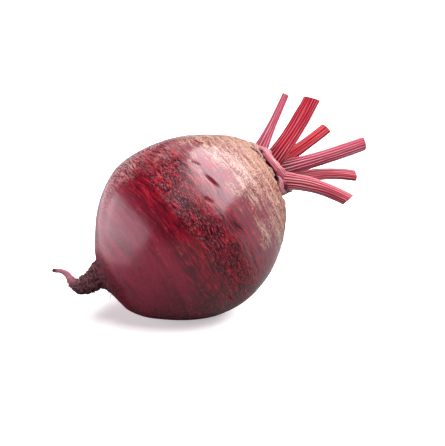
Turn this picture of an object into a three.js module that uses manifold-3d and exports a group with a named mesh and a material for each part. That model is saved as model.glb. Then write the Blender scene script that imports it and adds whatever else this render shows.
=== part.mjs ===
// A whole beetroot as it is sold: the swollen root with its tap root in one piece, lying on its side, and the six
// leaf stalks that were cut off short above its crown. Millimetres, +Z up, resting on the plane z = 0.
//
// Each piece is drawn in the root's own frame: +Z runs from the tap root to the crown, +X is the side that lies
// uppermost, and +Y the side that lies to the front. Two nested groups then tip and roll the root to where it rests.
import * as THREE from "three";
import { mergeVertices } from "three/addons/utils/BufferGeometryUtils.js";
import Module from "manifold-3d";

const wasm = await Module();
wasm.setup();

// How the root lies.
const AXIS_TILT = 29.3; // degrees that the crown end points above the table
const ROLL = 153.9; // degrees round the root's own axis
const REST_SINK = 0.8; // mm of the roundest point that is flat where it rests

// The globe: a sphere drawn out a little towards both ends.
const GLOBE_RADIUS = 39.2;
const POLE_DRAW = 4.1; // mm that each end reaches further than the waist
const POLE_SHARPNESS = 5; // how close to the ends the drawing out stays
const GLOBE_TOP = 160; // degrees from the tap root where the crown begins
const GLOBE_BOTTOM = 16; // degrees from the tap root where the globe ends
const GLOBE_ROWS = 32;
const SEGMENTS = 56; // faces round the root

// Soft swellings and hollows: degrees round the axis from +X, degrees from the tap root, degrees of spread, mm.
const SWELLINGS = [
  { around: 0, polar: 71, spread: 15, height: 1.0 },
  { around: 0, polar: 107, spread: 20, height: -1.1 },
  { around: 5, polar: 158, spread: 17, height: 2.1 },
  { around: 0, polar: 28, spread: 14, height: -0.7 },
  { around: 180, polar: 20, spread: 17, height: 1.3 },
  { around: 72, polar: 128, spread: 22, height: 0.7 },
  { around: 118, polar: 84, spread: 24, height: -0.5 },
  { around: 236, polar: 112, spread: 26, height: 0.9 },
  { around: 292, polar: 66, spread: 20, height: -0.8 },
  { around: 318, polar: 132, spread: 18, height: 0.6 },
];

// The crown, as radius and height from its middle outwards: a low bud, the shallow floor that the stalks stand on,
// the fleshy rim that old leaf bases left, the crevice behind it and the corky shoulder.
const CROWN_OUTLINE = [
  [1.8, 43.3],
  [3.8, 42.5],
  [6.4, 42.1],
  [8.4, 42.9],
  [9.5, 44.2],
  [10.5, 44.6],
  [11.4, 43.6],
  [12.1, 42.0],
  [13.1, 41.5],
];
const CROWN_MIDDLE = 43.6;
const RIM_RADIUS = 10.5;
const RIM_WIDTH = 1.5; // mm either side of the rim that its lobes reach
const RIM_LOBES = 9; // torn leaf bases round the rim
const RIM_WAVE = 0.35;
const RIM_UNEVENNESS = 0.5; // how much some lobes stand higher than others
const SCAR_RADIUS = 15; // the ring of older leaf scars on the shoulder
const SCAR_WIDTH = 1.9;
const SCAR_COUNT = 11;
const SCAR_HEIGHT = 0.55;
const SCAR_LEVEL = 0.4; // share of a crescent that lies below the shoulder

// The tap root: its centre line and its thickness, from the globe to the withered tip.
const TAP_ROOT = [
  { at: [1.6, 0, -42.6], radius: 9.6 },
  { at: [3.6, 0, -43.7], radius: 7.0 },
  { at: [4.8, 0, -44.9], radius: 5.3 },
  { at: [4.7, 0.1, -47.2], radius: 4.5 },
  { at: [5.2, 0.3, -50.2], radius: 3.9 },
  { at: [6.3, 0.5, -52.5], radius: 3.3 },
  { at: [8.2, 0.6, -53.6], radius: 2.5 },
  { at: [10.6, 0.5, -53.9], radius: 1.75 },
  { at: [13.3, 0.2, -54.0], radius: 1.25 },
  { at: [15.4, 0, -55.0], radius: 1.0 },
  { at: [17.8, -0.4, -57.8], radius: 0.75 },
];
const TAP_STEPS = 24;
const TAP_BASE = 2; // how many of those places still belong to the globe's own curve, and have no wrinkles
const TAP_WRINKLE = 0.07; // share of the thickness
const TAP_WRINKLES = 13; // rings along the tap root
const WRINKLE_SWAY = 1.5; // how far the rings wander, in radians of their wave
const TIP_BLUNTNESS = 0.7; // how far the withered tip reaches, as a share of its radius

// The leaf stalks: foot on the crown as x and y, then a place half way up and the tip as x, y and z, the way the
// rounded outer side faces, width and thickness at the cut end, width at the foot, and the slant of the knife's cut
// in mm along the stalk for each mm across it.
const STALKS = [
  {
    foot: [8.1, 4.6],
    middle: [15.7, 5.3, 53.6],
    tip: [23.1, 6.0, 66.2],
    faces: [0.5, 0.85],
    width: 3.0,
    depth: 2.8,
    footWidth: 9.4,
    slant: 0.05,
  },
  {
    foot: [1.4, 3.6],
    middle: [7.4, 5.4, 57.7],
    tip: [15.2, 8.0, 74.2],
    faces: [0.2, 1],
    width: 7.0,
    depth: 4.6,
    footWidth: 10.0,
    slant: -0.2,
  },
  {
    foot: [1.2, -5.8],
    middle: [0.9, -8.6, 60.0],
    tip: [1.6, -12.5, 78.1],
    faces: [0.2, -1],
    width: 4.9,
    depth: 4.1,
    footWidth: 7.4,
    slant: 0.25,
  },
  {
    foot: [0.6, -1.2],
    middle: [-7.0, -2.3, 62.4],
    tip: [-13.6, -4.0, 85.6],
    faces: [-0.3, 0.95],
    width: 5.7,
    depth: 4.4,
    footWidth: 9.6,
    slant: 0.1,
  },
  {
    foot: [-5.0, -6.0],
    middle: [-12.1, -8.6, 60.0],
    tip: [-23.0, -12.0, 76.3],
    faces: [-0.6, -0.8],
    width: 5.1,
    depth: 4.4,
    footWidth: 9.4,
    slant: 0.12,
  },
  {
    foot: [-4.5, 7.2],
    middle: [-14.9, 8.4, 51.8],
    tip: [-29.0, 9.0, 61.2],
    faces: [-0.5, 0.86],
    width: 5.3,
    depth: 4.4,
    footWidth: 9.4,
    slant: 0.38,
  },
];
const STALK_FOOT_HEIGHT = 40; // where a stalk starts, inside the crown's flesh
const STALK_RIBS = 10;
const RIB_DEPTH = 0.075; // share of the half thickness
const STALK_SEGMENTS = 30;
const STALK_ROWS = 9;
const INNER_FULLNESS = 0.75; // how round the inner side is, where the outer one has 1
const CHANNEL_DEPTH = 0.28; // share of the depth, along the middle of the inner side
const CHANNEL_WIDTH = 0.4; // share of the half width
const FLARE_SHARPNESS = 3.6; // how quickly the foot narrows to the stalk
const FIT_GAP = 0.3; // between a stalk and what it grows from

const ROOT_COLOUR = 0x6d1f33;
const STALK_COLOUR = 0xb32a45;

const radians = THREE.MathUtils.degToRad;
const ACROSS = new THREE.Vector3(1, 0, 0);
const SIDE = new THREE.Vector3(0, 1, 0);
const AXIS = new THREE.Vector3(0, 0, 1);

// A closed skin over rings of equal count, with one end point at each end. Each ring turns by the right-hand rule
// about the direction from first to last.
function skinOver(first, rings, last) {
  const count = rings[0].length;
  const points = [first, ...rings.flat(), last];
  const faces = [];
  const at = (ring, i) => 1 + ring * count + (i % count);
  for (let i = 0; i < count; i++) {
    faces.push(0, at(0, i + 1), at(0, i));
    faces.push(points.length - 1, at(rings.length - 1, i), at(rings.length - 1, i + 1));
  }
  for (let ring = 0; ring + 1 < rings.length; ring++) {
    for (let i = 0; i < count; i++) {
      faces.push(at(ring, i), at(ring, i + 1), at(ring + 1, i + 1));
      faces.push(at(ring, i), at(ring + 1, i + 1), at(ring + 1, i));
    }
  }
  return new THREE.BufferGeometry().setFromPoints(points).setIndex(faces);
}

function solidFrom(geometry) {
  const bare = geometry.clone();
  bare.deleteAttribute("normal");
  bare.deleteAttribute("uv");
  const merged = mergeVertices(bare);
  return new wasm.Manifold(
    new wasm.Mesh({
      numProp: 3,
      vertProperties: merged.attributes.position.array,
      triVerts: new Uint32Array(merged.index.array),
    }),
  );
}

function geometryFrom(solid) {
  const mesh = solid.getMesh();
  const geometry = new THREE.BufferGeometry();
  geometry.setAttribute("position", new THREE.BufferAttribute(mesh.vertProperties, 3));
  geometry.setIndex(new THREE.BufferAttribute(mesh.triVerts, 1));
  geometry.computeVertexNormals();
  return geometry;
}

// The direction at a polar angle from the tap root and an angle round the axis.
function direction(around, polar) {
  return new THREE.Vector3(
    Math.sin(polar) * Math.cos(around),
    Math.sin(polar) * Math.sin(around),
    -Math.cos(polar),
  );
}

// Height of the soft swellings in a direction from the middle of the globe.
function swelling(around, polar) {
  const here = direction(around, polar);
  return SWELLINGS.reduce((sum, s) => {
    const apart = here.angleTo(direction(radians(s.around), radians(s.polar))) / radians(s.spread);
    return sum + s.height * Math.exp(-apart * apart);
  }, 0);
}

// Lobes of the rim and the crescents of old leaf scars on the shoulder, as height above the crown's outline.
function crownRelief(around, radius) {
  const rim = Math.exp(-(((radius - RIM_RADIUS) / RIM_WIDTH) ** 2));
  const lobes = Math.sin(RIM_LOBES * around) * (1 + RIM_UNEVENNESS * Math.sin(2 * around + 1));
  const scar = Math.exp(-(((radius - SCAR_RADIUS) / SCAR_WIDTH) ** 2));
  const crescents = Math.abs(Math.sin((SCAR_COUNT * around) / 2)) - SCAR_LEVEL;
  return RIM_WAVE * rim * lobes + SCAR_HEIGHT * scar * crescents;
}

// The rows of the root's skin, from the crown downwards. Each row has its centre, its radius, the way outwards as
// shares of radius and height, and the height that relief adds at an angle round it.
function crownRows() {
  return CROWN_OUTLINE.map(([radius, height]) => ({
    centre: new THREE.Vector3(0, 0, height),
    radius,
    outward: new THREE.Vector2(0, 1),
    relief: (around) => swelling(around, Math.PI - Math.atan2(radius, height)) + crownRelief(around, radius),
  }));
}

function globeRows() {
  const rows = [];
  for (let i = 0; i <= GLOBE_ROWS; i++) {
    const polar = radians(THREE.MathUtils.lerp(GLOBE_TOP, GLOBE_BOTTOM, i / GLOBE_ROWS));
    const reach = GLOBE_RADIUS + POLE_DRAW * Math.abs(Math.cos(polar)) ** POLE_SHARPNESS;
    const radius = reach * Math.sin(polar);
    rows.push({
      centre: new THREE.Vector3(0, 0, -reach * Math.cos(polar)),
      radius,
      outward: new THREE.Vector2(Math.sin(polar), -Math.cos(polar)),
      relief: (around) => swelling(around, polar) + (polar > Math.PI / 2 ? crownRelief(around, radius) : 0),
    });
  }
  return rows;
}

function tapRootRows() {
  const line = new THREE.CatmullRomCurve3(TAP_ROOT.map((p) => new THREE.Vector3(...p.at)));
  const down = AXIS.clone().negate();
  const rows = [];
  for (let i = 0; i <= TAP_STEPS; i++) {
    const t = i / TAP_STEPS;
    const place = t * (TAP_ROOT.length - 1);
    const leg = Math.min(Math.floor(place), TAP_ROOT.length - 2);
    const radius = THREE.MathUtils.lerp(TAP_ROOT[leg].radius, TAP_ROOT[leg + 1].radius, place - leg);
    const grown = THREE.MathUtils.clamp(place - TAP_BASE, 0, 1);
    const along = down.clone().lerp(line.getTangent(t), grown).normalize();
    const wrinkle = (around) => Math.sin(2 * Math.PI * TAP_WRINKLES * t + WRINKLE_SWAY * Math.sin(2 * around));
    rows.push({
      centre: line.getPoint(t),
      radius,
      across: new THREE.Vector3().crossVectors(along, SIDE).normalize(),
      outward: new THREE.Vector2(1, 0),
      relief: (around) => TAP_WRINKLE * radius * grown * wrinkle(around),
    });
  }
  return rows;
}

// The root's skin as a closed surface, moved outwards by a clearance.
function rootSurface(clearance) {
  const rows = [...crownRows(), ...globeRows(), ...tapRootRows()].reverse();
  const rings = rows.map((row) =>
    Array.from({ length: SEGMENTS }, (_, i) => {
      const around = (2 * Math.PI * i) / SEGMENTS;
      const height = row.relief(around) + clearance;
      const radius = row.radius + row.outward.x * height;
      return row.centre
        .clone()
        .addScaledVector(row.across ?? ACROSS, radius * Math.cos(around))
        .addScaledVector(SIDE, radius * Math.sin(around))
        .addScaledVector(AXIS, row.outward.y * height);
    }),
  );
  const tip = new THREE.Vector3(...TAP_ROOT.at(-1).at);
  const tipward = tip.clone().sub(new THREE.Vector3(...TAP_ROOT.at(-2).at)).normalize();
  return skinOver(
    tip.addScaledVector(tipward, TAP_ROOT.at(-1).radius * TIP_BLUNTNESS + clearance),
    rings,
    new THREE.Vector3(0, 0, CROWN_MIDDLE + clearance),
  );
}

// Outline of a leaf stalk across its length: rounded and ribbed outside, flatter inside with a channel along it.
// Returns distances along the width and towards the outer side.
function stalkOutline(width, depth) {
  return Array.from({ length: STALK_SEGMENTS }, (_, i) => {
    const turn = (2 * Math.PI * i) / STALK_SEGMENTS;
    const rib = 1 + RIB_DEPTH * Math.cos(STALK_RIBS * turn);
    const inner = Math.sin(turn) < 0;
    const channel = inner ? CHANNEL_DEPTH * depth * Math.exp(-((Math.cos(turn) / CHANNEL_WIDTH) ** 2)) : 0;
    return [
      0.5 * width * rib * Math.cos(turn),
      0.5 * depth * rib * Math.sin(turn) * (inner ? INNER_FULLNESS : 1) + channel,
    ];
  });
}

// A stalk's skin as a closed surface, moved outwards by a clearance.
function stalkSurface(stalk, clearance) {
  const foot = new THREE.Vector3(...stalk.foot, STALK_FOOT_HEIGHT);
  const middle = new THREE.Vector3(...stalk.middle);
  const tip = new THREE.Vector3(...stalk.tip);
  const pull = middle.clone().multiplyScalar(2).addScaledVector(foot, -0.5).addScaledVector(tip, -0.5);
  const line = new THREE.QuadraticBezierCurve3(foot, pull, tip);
  const faces = new THREE.Vector3(...stalk.faces, 0).normalize();
  const rings = [];
  for (let row = 0; row <= STALK_ROWS; row++) {
    const t = row / STALK_ROWS;
    const along = line.getTangent(t);
    const out = faces.clone().addScaledVector(along, -faces.dot(along)).normalize();
    const wide = new THREE.Vector3().crossVectors(out, along);
    const width = THREE.MathUtils.lerp(stalk.width, stalk.footWidth, Math.exp(-FLARE_SHARPNESS * t));
    const slant = row === STALK_ROWS ? stalk.slant : 0;
    rings.push(
      stalkOutline(width + 2 * clearance, stalk.depth + 2 * clearance).map(([w, d]) =>
        line.getPoint(t).addScaledVector(wide, w).addScaledVector(out, d).addScaledVector(along, slant * w),
      ),
    );
  }
  return skinOver(foot, rings, tip);
}

// The two groups that lay the root down: it is rolled round its own axis, and then its axis is tipped.
const rolled = new THREE.Group();
rolled.rotation.z = radians(ROLL);
const lying = new THREE.Group();
lying.rotation.y = radians(90 - AXIS_TILT);
lying.add(rolled);
lying.updateMatrixWorld(true);

function lowestPoint(surface) {
  const points = surface.clone().applyMatrix4(rolled.matrixWorld).getAttribute("position");
  const lowest = new THREE.Vector3(0, 0, Infinity);
  for (let i = 0; i < points.count; i++) {
    if (points.getZ(i) < lowest.z) lowest.fromBufferAttribute(points, i);
  }
  return lowest;
}

// The table's top layer, in the root's own frame, pressed a little into the root's lowest point.
function tableUnder(lowest) {
  const table = new THREE.BoxGeometry(4 * GLOBE_RADIUS, 4 * GLOBE_RADIUS, 2 * GLOBE_RADIUS);
  table.translate(0, 0, lowest.z + REST_SINK - GLOBE_RADIUS);
  return table.applyMatrix4(rolled.matrixWorld.clone().invert());
}

const rootSkin = rootSurface(0);
const lowest = lowestPoint(rootSkin);
const rootSolid = solidFrom(rootSkin).subtract(solidFrom(tableUnder(lowest)));
const rootWithRoom = solidFrom(rootSurface(FIT_GAP));

const rootMesh = new THREE.Mesh(
  geometryFrom(rootSolid),
  new THREE.MeshStandardMaterial({ color: ROOT_COLOUR, roughness: 0.45, metalness: 0 }),
);
rootMesh.name = "swollen_root";

// Each stalk is cut back by the root and, where their feet crowd each other, by the stalks before it.
const stalkMeshes = STALKS.map((stalk, i) => {
  const solid = STALKS.slice(0, i).reduce(
    (rest, neighbour) => rest.subtract(solidFrom(stalkSurface(neighbour, FIT_GAP))),
    solidFrom(stalkSurface(stalk, 0)).subtract(rootWithRoom),
  );
  const mesh = new THREE.Mesh(
    geometryFrom(solid),
    new THREE.MeshStandardMaterial({ color: STALK_COLOUR, roughness: 0.4, metalness: 0 }),
  );
  mesh.name = `leaf_stalk_${i + 1}`;
  return mesh;
});

rolled.add(rootMesh, ...stalkMeshes);
lying.position.set(-lowest.x, -lowest.y, -lowest.z - REST_SINK);

const beetroot = new THREE.Group();
beetroot.add(lying);

export default beetroot;
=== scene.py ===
import bpy
import numpy as np
from mathutils import Matrix, Vector


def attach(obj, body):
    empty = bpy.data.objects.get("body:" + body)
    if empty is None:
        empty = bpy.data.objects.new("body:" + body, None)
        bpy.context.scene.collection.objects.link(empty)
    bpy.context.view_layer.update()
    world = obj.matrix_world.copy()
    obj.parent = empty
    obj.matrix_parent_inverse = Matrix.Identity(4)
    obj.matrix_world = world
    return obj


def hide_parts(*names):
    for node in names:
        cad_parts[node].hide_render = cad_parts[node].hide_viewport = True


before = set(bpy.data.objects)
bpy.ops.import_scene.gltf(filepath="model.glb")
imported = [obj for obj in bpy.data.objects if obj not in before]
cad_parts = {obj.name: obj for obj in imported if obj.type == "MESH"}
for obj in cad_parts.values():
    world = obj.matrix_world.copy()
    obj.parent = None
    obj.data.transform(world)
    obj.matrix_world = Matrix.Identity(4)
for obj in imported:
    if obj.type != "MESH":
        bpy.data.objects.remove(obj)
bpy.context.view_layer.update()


# The swollen root is one grown body: a globe of stored flesh under a thin crimson skin, with a corky
# shoulder and a fleshy crown at one end and the tap root at the other. Its skin is one closed surface of
# rings round the axis, which runs from the tap root up to the crown. It lies tipped, on a small flat spot.
MM = 0.001
TABLE_GAP = 0.02
AXIS_TILT = 29.3
ROLL = 153.9
GLOBE_MIDDLE = np.array([-0.21, 0.23, 38.52])
LYING = np.array(
    Matrix.Rotation(np.radians(90 - AXIS_TILT), 3, "Y") @ Matrix.Rotation(np.radians(ROLL), 3, "Z")
)

# The globe is a ball drawn out a little at its poles. Its stations are degrees from the tap root.
GLOBE_RADIUS = 39.2
POLE_DRAW = 4.1
POLE_SHARPNESS = 5
GLOBE_TOP = 160
GLOBE_BOTTOM = 16
GLOBE_STATIONS = 37

# Soft swellings: degrees round the axis, degrees from the tap root, degrees of spread, height.
SWELLINGS = [
    (0, 71, 15, 1.0),
    (0, 107, 20, -1.1),
    (5, 158, 17, 2.1),
    (0, 28, 14, -0.7),
    (180, 20, 17, 1.3),
    (72, 128, 22, 0.7),
    (118, 84, 24, -0.5),
    (236, 112, 26, 0.9),
    (292, 66, 20, -0.8),
    (318, 132, 18, 0.6),
]

# Radius and height of the crown, from its middle out to the shoulder, and the station at the rim's crest.
CROWN_OUTLINE = [
    (0.1, 43.6),
    (1.8, 43.3),
    (3.8, 42.5),
    (6.4, 42.1),
    (8.4, 42.9),
    (9.5, 44.2),
    (10.5, 44.6),
    (11.4, 43.6),
    (12.1, 42.0),
    (13.1, 41.5),
]
RIM_CREST = 6

# Middle and radius of the tap root, from the globe to the withered tip.
TAP_ROOT = [
    (1.6, 0, -42.6, 9.6),
    (3.6, 0, -43.7, 7.0),
    (4.8, 0, -44.9, 5.3),
    (4.7, 0.1, -47.2, 4.5),
    (5.2, 0.3, -50.2, 3.9),
    (6.3, 0.5, -52.5, 3.3),
    (8.2, 0.6, -53.6, 2.5),
    (10.6, 0.5, -53.9, 1.75),
    (13.3, 0.2, -54.0, 1.25),
    (15.4, 0, -55.0, 1.0),
    (17.8, -0.4, -57.8, 0.75),
]
TIP_ROUNDING = 0.45

# Rings stand closer together on the crown and on the tap root than on the globe.
ROOT_ROWS = 330
ROOT_COLUMNS = 284
CROWN_CROWDING = 2.4
TAP_CROWDING = 1.7

# Heights along the axis between which the colours of the skin change.
LOWEST = -45
HIGHEST = 45


def through(stations, places):
    """Smooth curve through stations, at distances along it: between two stations a cubic that has both
    their values, and at each of them the slope of its neighbours. Also returns the slope."""
    knots = np.concatenate([[0], np.cumsum(np.linalg.norm(np.diff(stations, axis=0), axis=1))])
    slopes = np.gradient(stations, knots, axis=0)
    leg = np.clip(np.searchsorted(knots, places, side="right") - 1, 0, len(knots) - 2)
    span = (knots[leg + 1] - knots[leg])[:, None]
    t = (places - knots[leg])[:, None] / span
    a, b = stations[leg], stations[leg + 1]
    from_a, from_b = slopes[leg] * span, slopes[leg + 1] * span
    value = (
        a * (1 + 2 * t) * (1 - t) ** 2
        + b * (3 - 2 * t) * t**2
        + from_a * t * (1 - t) ** 2
        - from_b * t**2 * (1 - t)
    )
    slope = (
        6 * (b - a) * t * (1 - t) + from_a * (1 - t) * (1 - 3 * t) + from_b * t * (3 * t - 2)
    ) / span
    return value, slope


def unit(vectors):
    """Vectors divided by their lengths."""
    return vectors / np.maximum(np.linalg.norm(vectors, axis=-1, keepdims=True), 1e-9)


def smooth_step(low, high, value):
    """0 below low, 1 above high, and a smooth S between them. It falls where low is the larger one."""
    t = np.clip((value - low) / (high - low), 0, 1)
    return t * t * (3 - 2 * t)


# Large odd numbers that scatter the corners of the noise's lattice, and one that scatters them again.
SCATTER = (73856093, 19349663, 83492791, 961748927)
SCATTER_AGAIN = 1274126177


def noise(points, wave, seed, octaves=1):
    """Smooth noise, from -1 to 1 for one octave: fixed random values on a lattice with cells of size wave,
    blended between the cell's eight corners by S curves. Each further octave halves the cell and the
    height."""
    total = 0
    for octave in range(octaves):
        cells = points / (np.asarray(wave, float) / 2**octave)
        corner = np.floor(cells).astype(np.int64)
        t = cells - corner
        t = t * t * (3 - 2 * t)
        for step in np.ndindex(2, 2, 2):
            x, y, z = np.moveaxis(corner + np.array(step), -1, 0)
            mixed = (x * SCATTER[0]) ^ (y * SCATTER[1]) ^ (z * SCATTER[2]) ^ ((seed + octave) * SCATTER[3])
            mixed = ((mixed ^ (mixed >> 13)) * SCATTER_AGAIN) & 0x7FFFFFFF
            value = ((mixed ^ (mixed >> 16)) & 0xFFFF) / 32767.5 - 1
            share = np.prod(np.where(step, t, 1 - t), axis=-1)
            total = total + share * value / 2**octave
    return total


def outward(grid):
    """Outward unit normals of a grid of rings: the step to the next ring crossed with that round it."""
    along_ring = np.roll(grid, -1, 1) - np.roll(grid, 1, 1)
    to_next = np.gradient(grid, axis=0)
    return unit(np.cross(to_next, along_ring))


def to_world(points):
    """Points of the root's own frame, turned as it lies, moved to its place on the table, in metres."""
    return (points @ LYING.T + GLOBE_MIDDLE) * MM


def skin(name, bodies):
    """One mesh of closed bodies. Each body is a grid of rings, a point before its first ring, a point after
    its last one, and its attributes as arrays over the grid; each end point takes the mean of its ring."""
    points, faces, start = [], [], 0
    painted = {key: [] for key in bodies[0][3]}
    for grid, first, last, attributes in bodies:
        rows, columns, _ = grid.shape
        ring = start + np.arange(rows * columns).reshape(rows, columns)
        beside = np.roll(ring, -1, 1)
        before, after = start + rows * columns, start + rows * columns + 1
        faces += np.stack([ring[:-1], ring[1:], beside[1:], beside[:-1]], -1).reshape(-1, 4).tolist()
        faces += np.stack([np.full(columns, before), ring[0], beside[0]], -1).tolist()
        faces += np.stack([np.full(columns, after), beside[-1], ring[-1]], -1).tolist()
        points += [grid.reshape(-1, 3), [first, last]]
        for key, values in attributes.items():
            values = np.asarray(values, np.float32)
            ends = np.stack([values[0].mean(0), values[-1].mean(0)])
            painted[key] += [values.reshape(rows * columns, -1), ends.reshape(2, -1)]
        start += rows * columns + 2
    mesh = bpy.data.meshes.new(name)
    mesh.from_pydata(np.concatenate(points).tolist(), [], faces)
    for key, values in painted.items():
        flat = np.concatenate(values)
        kind, field = ("FLOAT", "value") if flat.shape[1] == 1 else ("FLOAT_VECTOR", "vector")
        mesh.attributes.new(key, kind, "POINT").data.foreach_set(field, flat.ravel())
    mesh.shade_smooth()
    piece = bpy.data.objects.new(name, mesh)
    bpy.context.scene.collection.objects.link(piece)
    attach(piece, "root")
    return piece


# Rings from the middle of the crown to the tip of the tap root.
polar_stations = np.radians(np.linspace(GLOBE_TOP, GLOBE_BOTTOM, GLOBE_STATIONS))
reach = GLOBE_RADIUS + POLE_DRAW * np.abs(np.cos(polar_stations)) ** POLE_SHARPNESS
nothing = np.zeros(GLOBE_STATIONS)
globe_height = -reach * np.cos(polar_stations)
globe_part = np.stack([nothing, nothing, globe_height, reach * np.sin(polar_stations)], -1)
crown_part = np.array([(0, 0, height, radius) for radius, height in CROWN_OUTLINE])
stations = np.concatenate([crown_part, globe_part, np.array(TAP_ROOT)])
lengths = np.concatenate([[0], np.cumsum(np.linalg.norm(np.diff(stations, axis=0), axis=1))])
crown_end = lengths[len(crown_part)]
globe_end = lengths[len(crown_part) + GLOBE_STATIONS - 1]
tap_start = lengths[len(crown_part) + GLOBE_STATIONS + 2]
rim = lengths[RIM_CREST]
root_end = lengths[-1]
crowding = np.where(lengths > globe_end, TAP_CROWDING, 1.0)
crowding = np.where(lengths < crown_end + 3, CROWN_CROWDING, crowding)
crowded = np.concatenate([[0], np.cumsum(np.diff(lengths) * (crowding[1:] + crowding[:-1]) / 2)])
places = np.interp(np.linspace(0, crowded[-1], ROOT_ROWS), crowded, lengths)
rows, slopes = through(stations, places)
around = 2 * np.pi * np.arange(ROOT_COLUMNS) / ROOT_COLUMNS
side = np.array([0.0, 1.0, 0.0])
turned = smooth_step(tap_start, tap_start + 2.4, places)[:, None]
run = unit(turned * unit(slopes[:, :3]) + (1 - turned) * np.array([0, 0, -1.0]))
across = unit(np.cross(run, side))
root = (
    rows[:, None, :3]
    + rows[:, None, 3:] * np.cos(around)[None, :, None] * across[:, None]
    + rows[:, None, 3:] * np.sin(around)[None, :, None] * side
)

# The soft swellings of the globe, each a round hump that falls off with the angle from its middle.
distance = places[:, None] + 0 * around
radius = rows[:, 3:] + 0 * around
height = rows[:, 2:3] + 0 * around
polar = np.arctan2(radius, -height)
turn = around + 0 * radius
heading = np.stack([np.sin(polar) * np.cos(turn), np.sin(polar) * np.sin(turn), -np.cos(polar)], -1)
on_globe = 1 - smooth_step(globe_end - 1, globe_end + 5, distance)
swelling = 0
for hump_around, hump_polar, spread, hump in SWELLINGS:
    angle, opening = np.radians([hump_around, hump_polar])
    middle = np.array(
        [np.sin(opening) * np.cos(angle), np.sin(opening) * np.sin(angle), -np.cos(opening)]
    )
    apart = np.degrees(np.arccos(np.clip(heading @ middle, -1, 1)))
    swelling = swelling + hump * np.exp(-((apart / spread) ** 2))
root = root + outward(root) * (swelling * on_globe)[..., None]

# Where the skin is bark, soil, pale tip, crown flesh, cork or crevice. All are shares from 0 to 1.
drift = noise(root, 9.0, 3, 3)
spill = noise(np.stack([np.cos(turn) * 2.0, np.sin(turn) * 2.0, 0.05 * distance], -1), 0.7, 43, 2)
ragged = distance + 1.3 * drift + 1.6 * spill + 2.4 * np.cos(turn)
on_tap = smooth_step(globe_end - 4.5, tap_start + 1.5, ragged)
soiled = smooth_step(globe_end - 9.0, globe_end - 2.0, distance + 0.8 * spill + 0.8 * drift)
pale_tip = smooth_step(3.0, 1.2, radius) * smooth_step(root_end - 0.6, root_end - 2.2, distance)
crown_out = distance - rim
flesh_edge = 4.0 + 4.2 * np.exp(-(((turn - 2.3) / 0.42) ** 2)) + 0.5 * noise(root, 4.0, 6)
flesh = 1 - smooth_step(-0.5, 0.5, crown_out - flesh_edge + 0.5 * noise(root, 1.8, 5, 2))
cork = smooth_step(11, 32, height + 6.5 * drift + 5.5 * np.cos(turn - 0.2)) * (1 - flesh)
torn = smooth_step(-0.25, 0.35, 0.55 * noise(root, 4.5, 8, 2) + 0.75 * np.cos(turn - 2.05))
torn = torn * (1 - np.exp(-(((turn - 0.45) / 0.38) ** 2)))
crevice = np.exp(-(np.abs((crown_out - flesh_edge) / (0.65 + 0.6 * torn)) ** 3)) * torn

# The upper side is streaked paler, from the shoulder down past the waist.
paler_upside = smooth_step(0.70, 0.96, np.cos(turn - 0.05) + 0.12 * drift)
paler_upside = paler_upside * smooth_step(-32, -18, height) * (1 - smooth_step(20, 30, height))

# Fine relief: thin streaks that run round the globe, dents, scars, cork, wrinkles on the tap root.
streaks = noise(root, (9.0, 9.0, 0.9), 11, 3)
broad = noise(root, 15.0, 21, 2)
lumps = noise(root, 2.6, 31, 2)
warts = noise(root, (1.9, 1.9, 1.3), 33, 2)
collar = np.exp(-(((crown_out - flesh_edge - 2.0) / 2.2) ** 2))
scars = np.exp(-(((crown_out - 3.6) / 1.7) ** 2)) * (np.abs(np.sin(5.5 * turn + 1.2 * drift)) - 0.4)
rim_lobes = np.exp(-((crown_out / 1.6) ** 2)) * np.sin(9 * turn + 0.8 * drift)
rim_lines = flesh * smooth_step(-4, -1, crown_out) * np.sin(2 * np.pi * (crown_out / 0.62 + 0.5 * lumps))
wrinkled = smooth_step(globe_end + 1, tap_start + 5, distance)
wrinkles = np.sin(2 * np.pi * distance / 1.9 + 1.5 * np.sin(2 * turn) + 2.2 * lumps)
furrows = noise(np.stack([np.cos(turn) * 2.4, np.sin(turn) * 2.4, 0.16 * distance], -1), 0.8, 41, 2)
relief = (
    0.20 * broad * on_globe
    + 0.022 * streaks * (1 - on_tap)
    + cork * (0.10 * lumps + 0.10 * noise(root, (4.0, 4.0, 1.0), 51, 2))
    + 0.65 * collar * np.maximum(warts, -0.25) * (1 - flesh)
    + 0.4 * scars
    + 0.5 * rim_lobes
    + 0.13 * rim_lines
    - 2.0 * crevice
    + wrinkled * np.minimum(radius, 4.0) * (0.055 * wrinkles + 0.10 * furrows)
)
above_table = smooth_step(0.3, 5.0, to_world(root)[..., 2] / MM)
root = root + outward(root) * (relief * above_table)[..., None]

# Slits where the skin tore as it grew: degrees round, height, half length round it, half width, depth.
SLITS = [
    (75, 12.3, 4.0, 0.44, 0.9),
    (59, 11.7, 2.0, 0.38, 0.6),
    (38.7, 19.8, 2.6, 0.34, 0.5),
    (84, 6.4, 1.9, 0.38, 0.5),
    (205, 9.0, 3.6, 0.40, 0.6),
    (150, -6.0, 3.0, 0.36, 0.45),
    (262, 20.0, 3.4, 0.40, 0.6),
    (318, 3.0, 2.6, 0.34, 0.4),
]
slit = 0
for slit_around, slit_height, half_length, half_width, depth in SLITS:
    gone = (np.degrees(turn) - slit_around + 180) % 360 - 180
    sideways = np.radians(gone) * radius / half_length
    upwards = (root[..., 2] - slit_height - 0.8 * sideways + 0.25 * lumps) / half_width
    groove = np.exp(-(upwards**2) - sideways**4)
    lips = np.exp(-((np.abs(upwards) - 2.1) ** 2) - sideways**4)
    root = root + outward(root) * (depth * (0.12 * lips - groove))[..., None]
    slit = np.maximum(slit, groove)

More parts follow.
